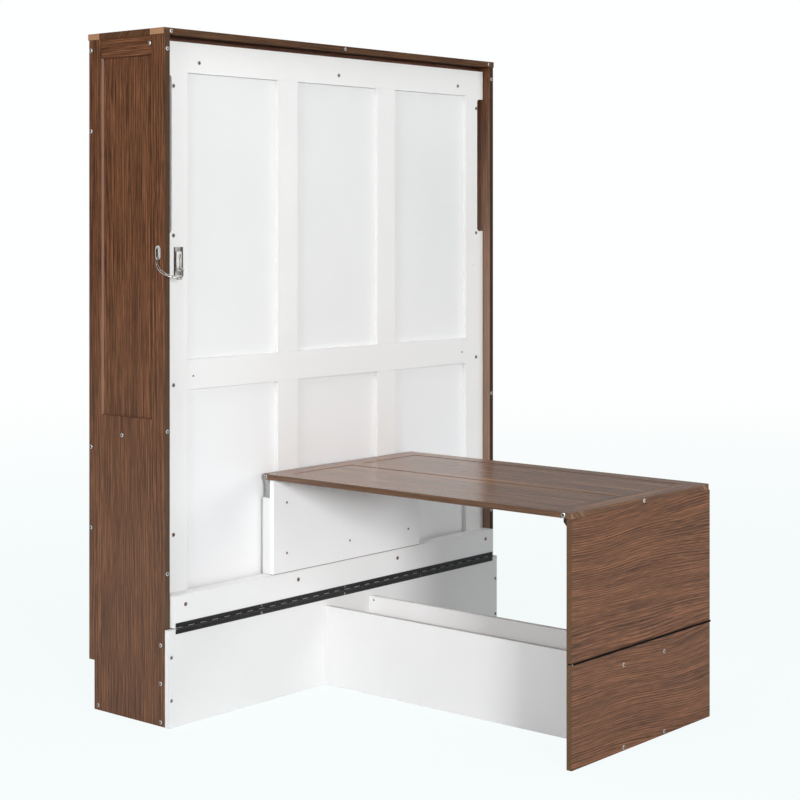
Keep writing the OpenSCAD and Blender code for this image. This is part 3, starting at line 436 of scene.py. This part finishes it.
metal("hingeBlack", ("#101011", "#1c1c1d"), ["bed_hinge_fixed_leaf", "bed_hinge_moving_leaf"],
      0.42, 0.2, hingeStripes)
metal("legHingeBlack", ("#060708", "#0d0e10"), ["leg_hinge_fixed_leaf", "leg_hinge_moving_leaf"],
      0.8, 0.0, shine=0.1)
metal("plateBlack", ("#171718", "#232324"), ["leg_pivot_plates"], 0.4, 0.3)
metal("plateGrey", ("#9b9b9b", "#adadad"), ["desk_pivot_plates", "strut_brackets", "strut_studs"],
      0.38, 0.55)
metal("brightSteel", ("#b4b4b2", "#cfcfcd"),
      ["bed_hinge_pin", "leg_hinge_pin", "strut_rod_left", "strut_rod_right"], 0.22, 1.0)
metal("strutBlack", ("#202326", "#2b2e31"), ["strut_tube_left", "strut_tube_right"], 0.3, 0.1)
nickel = metal("nickel", ("#b9b5af", "#dad6d0"), ["safety_chain"], 0.24, 0.6, reflectionPaint=chainReflectionPaint)
metal("nickelTrack", ("#c4c0ba", "#dedad4"), ["chain_track"], 0.3, 0.4, reflectionPaint=trackReflectionPaint)
metal("nickelAnchor", ("#b9b5af", "#dad6d0"), ["chain_anchor"], 0.3, 0.3, reflectionPaint=anchorReflectionPaint)
metal("screwSteel", ("#c4c4c2", "#dededc"), ["desk_pivot_bolts"], 0.3, 1.0)
metal("paleSteel", ("#d2d2d0", "#e6e6e4"), ["desk_edge_screw"], 0.4, 0.15)
metal("caseScrewSteel", ("#c4c4c2", "#dededc"), ["case_screws"], 0.3, 0.8, blackScrews)
metal("baseScrewSteel", ("#acacaa", "#c2c2c0"), ["base_screws"], 0.35, 0.3, blackScrews)
metal("faceScrewSteel", ("#80807e", "#9c9c9a"), ["face_screws"], 0.35, 0.5, blackScrews, warmBelow=0.72)
recessShade = metal("recessShade", ("#262627", "#343435"), [], 0.5, 0.3)
print("metals ready")


def finishMesh(name, bm, mat, body, smooth=True):
    mesh = bpy.data.meshes.new(name)
    bmesh.ops.recalc_face_normals(bm, faces=bm.faces)
    bm.to_mesh(mesh)
    bm.free()
    for p in mesh.polygons:
        p.use_smooth = smooth
    mesh.materials.append(mat)
    o = bpy.data.objects.new(name, mesh)
    bpy.context.scene.collection.objects.link(o)
    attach(o, body)
    return o


driver = {"arm": 0.56, "width": 0.24, "depth": 0.0006, "stand": 0.00004, "twist": 0.83}
screwSearch = {"weld": 1e-6, "endShare": 0.25}


def loosePieces(bm):
    # the points of each separate solid
    left, pieces = set(range(len(bm.verts))), []
    while left:
        stack, piece = [left.pop()], []
        while stack:
            v = bm.verts[stack.pop()]
            piece.append(v.co.copy())
            for e in v.link_edges:
                other = e.other_vert(v).index
                if other in left:
                    left.remove(other)
                    stack.append(other)
        pieces.append(piece)
    return pieces


def screwPlaces(node):
    # for each screw: the middle of its head's top, the way it faces and the head's radius
    bm = bmesh.new()
    bm.from_mesh(nodes[node].data)
    bmesh.ops.remove_doubles(bm, verts=bm.verts, dist=screwSearch["weld"])
    bm.verts.ensure_lookup_table()
    places = []
    for screw in loosePieces(bm):
        low = Vector([min(c[i] for c in screw) for i in range(3)])
        high = Vector([max(c[i] for c in screw) for i in range(3)])
        size, middle = high - low, (low + high) / 2
        axis = max(range(3), key=lambda i: size[i])
        one, two = (i for i in range(3) if i != axis)
        reach = {}  # the screw is widest at its head
        for end, sign in ((low[axis], -1), (high[axis], 1)):
            near = [c for c in screw if abs(c[axis] - end) < size[axis] * screwSearch["endShare"]]
            reach[sign] = max(math.hypot(c[one] - middle[one], c[two] - middle[two]) for c in near)
        sign = 1 if reach[1] > reach[-1] else -1
        top = middle.copy()
        top[axis] = high[axis] if sign > 0 else low[axis]
        way = Vector((0, 0, 0))
        way[axis] = sign
        places.append((top, way, reach[sign]))
    bm.free()
    return places


def crossRecesses(name, node, body):
    # painted shade: dark crosses stand for the recesses where a driver goes in
    bm = bmesh.new()
    down = Matrix.Translation((0, 0, -driver["depth"] / 2))
    for n, (top, way, radius) in enumerate(screwPlaces(node)):
        turn = way.to_track_quat("Z", "Y").to_matrix().to_4x4()
        turn = Matrix.Translation(top + way * driver["stand"]) @ turn
        turn = turn @ Matrix.Rotation(n * driver["twist"], 4, "Z")
        arm, width = radius * driver["arm"] * 2, radius * driver["width"] * 2
        size = Matrix.Diagonal((arm, width, driver["depth"], 1))
        for quarter in (0, math.pi / 2):
            m = turn @ Matrix.Rotation(quarter, 4, "Z") @ down
            bmesh.ops.create_cube(bm, size=1.0, matrix=m @ size)
    finishMesh(name, bm, recessShade, body, False)


for piece, node, body in (
    ("caseScrewSlots", "case_screws", "cabinet"), ("baseScrewSlots", "base_screws", "cabinet"),
    ("faceScrewSlots", "face_screws", "bed"), ("deskBoltSlots", "desk_pivot_bolts", "desk"),
    ("deskScrewSlot", "desk_edge_screw", "desk"),
):
    crossRecesses(piece, node, body)
print("screws ready")

# millimetres: x from the left side panel, z from the middle of the track, y as in at()
chain = {
    "wire": 1.3, "width": 10.0, "play": 0.4, "side": (-0.08, 0.85, -0.7),
    "halfWidth": 835, "trackHeight": 1449, "wireSides": 10, "bendSteps": 14,
    "route": [(-3.6, 31, 13.2), (-11, 26.6, -7.9), (-11.2, 12, -26.4), (-2.2, -4.8, -39.3),
              (14.4, -18.3, -45.7), (35.5, -19.7, -51.6), (57.5, -12.3, -51.5), (75.4, 2.6, -44.4),
              (86.4, 15.5, -23)],
    "studSides": 24, "studPlace": (85, 25, -25),
    "stud": [(0, -4.5), (4, -4.5), (4, -2.2), (1.6, -2.2), (1.6, 15), (4.2, 15), (4.2, 16.6),
             (3, 17.4), (0, 17.6)],
}


def chainPoint(place):
    x, y, z = place
    return at(x - chain["halfWidth"], y, z + chain["trackHeight"])


def ringSweep(bm, path, radius, sides):
    # a closed wire along a closed flat path
    count, rings = len(path), []
    normal = (path[count // 4] - path[0]).cross(path[count // 2] - path[0]).normalized()
    for i, p in enumerate(path):
        along = (path[(i + 1) % count] - path[i - 1]).normalized()
        out = along.cross(normal)
        rings.append([bm.verts.new(p + (out * math.cos(a) + normal * math.sin(a)) * radius)
                      for a in (2 * math.pi * k / sides for k in range(sides))])
    for i in range(count):
        one, two = rings[i], rings[(i + 1) % count]
        for k in range(sides):
            bm.faces.new((one[k], one[(k + 1) % sides], two[(k + 1) % sides], two[k]))


def addLinks(bm):
    # each link stands across the one before it
    route = [chainPoint(p) for p in chain["route"]]
    bend = (chain["width"] / 2 - chain["wire"]) * mm
    steps = chain["bendSteps"]
    side = Vector(chain["side"])
    for i in range(len(route) - 1):
        way = (route[i + 1] - route[i]).normalized()
        if i == 0:
            side = (side - way * side.dot(way)).normalized()
            continue  # the first link stays on the anchor
        side = way.cross(side).normalized()
        middle = (route[i] + route[i + 1]) / 2
        half = (route[i + 1] - route[i]).length / 2 + (chain["play"] + chain["wire"]) * mm - bend
        path = []
        for end in (1, -1):
            for a in (math.pi * k / steps for k in range(steps + 1)):
                out = half + bend * math.sin(a)
                path.append(middle + way * end * out + side * end * bend * math.cos(a))
        ringSweep(bm, path, chain["wire"] * mm, chain["wireSides"])


def addStud(bm):
    # a turned stud: radius and height of each ring, from inside the track outwards
    base, sides = chainPoint(chain["studPlace"]), chain["studSides"]
    rings = []
    for r, h in chain["stud"]:
        if r:
            rings.append([
                bm.verts.new(base + Vector((r * mm * math.cos(a), -h * mm, r * mm * math.sin(a))))
                for a in (2 * math.pi * k / sides for k in range(sides))])
        else:
            rings.append([bm.verts.new(base - Vector((0, h * mm, 0)))])
    for one, two in zip(rings, rings[1:]):
        for k in range(sides):
            corners = [one[k % len(one)], one[(k + 1) % len(one)],
                       two[(k + 1) % len(two)], two[k % len(two)]]
            bm.faces.new(list(dict.fromkeys(corners)))


def makeChain():
    bm = bmesh.new()
    addLinks(bm)
    addStud(bm)
    o = finishMesh("safetyChainLinks", bm, nickel, "chain")
    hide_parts("safety_chain")


makeChain()
print("chain ready")


def addNode(tree, kind, **inputs):
    n = tree.nodes.new(kind)
    for name, value in inputs.items():
        n.inputs[name].default_value = value
    return n


backdrop = {
    "half": 30, "below": 0.0005, "sky": "#feffff", "floor": "#f9ffff", "matt": "#eef4f5",
    "shadowShare": 0.07, "fadeFrom": 1.5, "fadeTo": 11,
}


def makeFloor():
    half = backdrop["half"]
    mesh = bpy.data.meshes.new("floor")
    corners = [(-half, -half, 0), (half, -half, 0), (half, half, 0), (-half, half, 0)]
    mesh.from_pydata(corners, [], [(0, 1, 2, 3)])
    floor = bpy.data.objects.new("floor", mesh)
    bpy.context.scene.collection.objects.link(floor)
    floor.location.z = -backdrop["below"]
    mat = bpy.data.materials.new("paleFloor")
    mat.use_nodes = True
    tree = mat.node_tree
    tree.nodes.clear()
    out = addNode(tree, "ShaderNodeOutputMaterial")
    # the camera sees a pale glow with a little of the shadow in it, light rays a matt floor
    matt = addNode(tree, "ShaderNodeBsdfDiffuse", Color=paint(backdrop["matt"]))
    glow = addNode(tree, "ShaderNodeEmission", Color=paint(backdrop["floor"]), Strength=1.0)
    part = addNode(tree, "ShaderNodeMixShader", Fac=backdrop["shadowShare"])
    whole = addNode(tree, "ShaderNodeMixShader")
    ray = addNode(tree, "ShaderNodeLightPath")
    # the floor turns into the backdrop's colour further away
    coord = addNode(tree, "ShaderNodeTexCoord")
    far = addNode(tree, "ShaderNodeVectorMath")
    far.operation = "LENGTH"
    fade = tree.nodes.new("ShaderNodeMapRange")
    fade.interpolation_type = "SMOOTHSTEP"
    fade.inputs["From Min"].default_value = backdrop["fadeFrom"]
    fade.inputs["From Max"].default_value = backdrop["fadeTo"]
    haze = addNode(tree, "ShaderNodeEmission", Color=paint(backdrop["sky"]), Strength=1.0)
    faded = addNode(tree, "ShaderNodeMixShader")
    for a, b in (
        (glow.outputs[0], part.inputs[1]), (matt.outputs[0], part.inputs[2]),
        (coord.outputs["Object"], far.inputs[0]), (far.outputs["Value"], fade.inputs["Value"]),
        (fade.outputs[0], faded.inputs["Fac"]), (part.outputs[0], faded.inputs[1]),
        (haze.outputs[0], faded.inputs[2]), (ray.outputs["Is Camera Ray"], whole.inputs["Fac"]),
        (matt.outputs[0], whole.inputs[1]), (faded.outputs[0], whole.inputs[2]),
        (whole.outputs[0], out.inputs["Surface"]),
    ):
        tree.links.new(a, b)
    mesh.materials.append(mat)


room = {"ambient": 0.08, "mirrored": 0.32, "ambientColour": "#fdfdff"}


def makeRoom():
    # white to the camera, a weak fill for the part and a dim reflection on what shines
    world = bpy.data.worlds.new("studio")
    bpy.context.scene.world = world
    world.use_nodes = True
    tree = world.node_tree
    tree.nodes.clear()
    out = addNode(tree, "ShaderNodeOutputWorld")
    tint = paint(room["ambientColour"])
    seen = addNode(tree, "ShaderNodeBackground", Color=paint(backdrop["sky"]))
    fill = addNode(tree, "ShaderNodeBackground", Color=tint, Strength=room["ambient"])
    shine = addNode(tree, "ShaderNodeBackground", Color=tint, Strength=room["mirrored"])
    ray = addNode(tree, "ShaderNodeLightPath")
    either = addNode(tree, "ShaderNodeMath")
    either.operation = "MAXIMUM"
    choose = addNode(tree, "ShaderNodeMixShader")
    unseen = addNode(tree, "ShaderNodeMixShader")
    for a, b in (
        (ray.outputs["Is Camera Ray"], either.inputs[0]),
        (ray.outputs["Is Transmission Ray"], either.inputs[1]),
        (either.outputs[0], choose.inputs["Fac"]), (ray.outputs["Is Glossy Ray"], unseen.inputs["Fac"]),
        (fill.outputs[0], unseen.inputs[1]), (shine.outputs[0], unseen.inputs[2]),
        (unseen.outputs[0], choose.inputs[1]), (seen.outputs[0], choose.inputs[2]),
        (choose.outputs[0], out.inputs["Surface"]),
    ):
        tree.links.new(a, b)


makeFloor()
makeRoom()

lamps = [
    {"name": "keyLamp", "place": (-7.6, -12.3, 3.4), "aim": (0, 0, 0.6), "size": 2.4, "power": 1160},
    {"name": "fillLamp", "place": (6.9, -10.5, 3.4), "aim": (0.3, 0, 0.7), "size": 4.0, "power": 275},
    {"name": "sideLamp", "place": (-6.0, -0.5, 2.8), "aim": (-0.8, 0.2, 0.6), "size": 2.6, "power": 190},
    {"name": "topLamp", "place": (-0.6, -1.0, 5.6), "aim": (-0.1, -0.6, 0), "size": 3.6, "power": 66},
    {"name": "rearLamp", "place": (2.5, 8.0, 3.2), "aim": (0, 0.3, 1.0), "size": 4.0, "power": 150},
]
for lamp in lamps:
    light = bpy.data.lights.new(lamp["name"], "AREA")
    light.shape = "SQUARE"
    light.size = lamp["size"]
    light.energy = lamp["power"]
    o = bpy.data.objects.new(lamp["name"], light)
    bpy.context.scene.collection.objects.link(o)
    o.location = lamp["place"]
    o.rotation_euler = (Vector(lamp["aim"]) - o.location).to_track_quat("-Z", "Y").to_euler()

view = {
    "place": (-4.6554, -3.7983, 1.58174), "turn": 0.86322, "lens": 81.77, "sensor": 36,
    "drop": -0.2259, "near": 0.1, "far": 100,
}
cam = bpy.data.cameras.new("camera")
cam.sensor_width = view["sensor"]
cam.lens = view["lens"]
cam.shift_y = view["drop"]
cam.clip_start, cam.clip_end = view["near"], view["far"]
eye = bpy.data.objects.new("camera", cam)
bpy.context.scene.collection.objects.link(eye)
eye.location = view["place"]
eye.rotation_euler = (math.pi / 2, 0, -view["turn"])
bpy.context.scene.camera = eye
bpy.context.scene.view_settings.view_transform = "Standard"
print("studio ready")
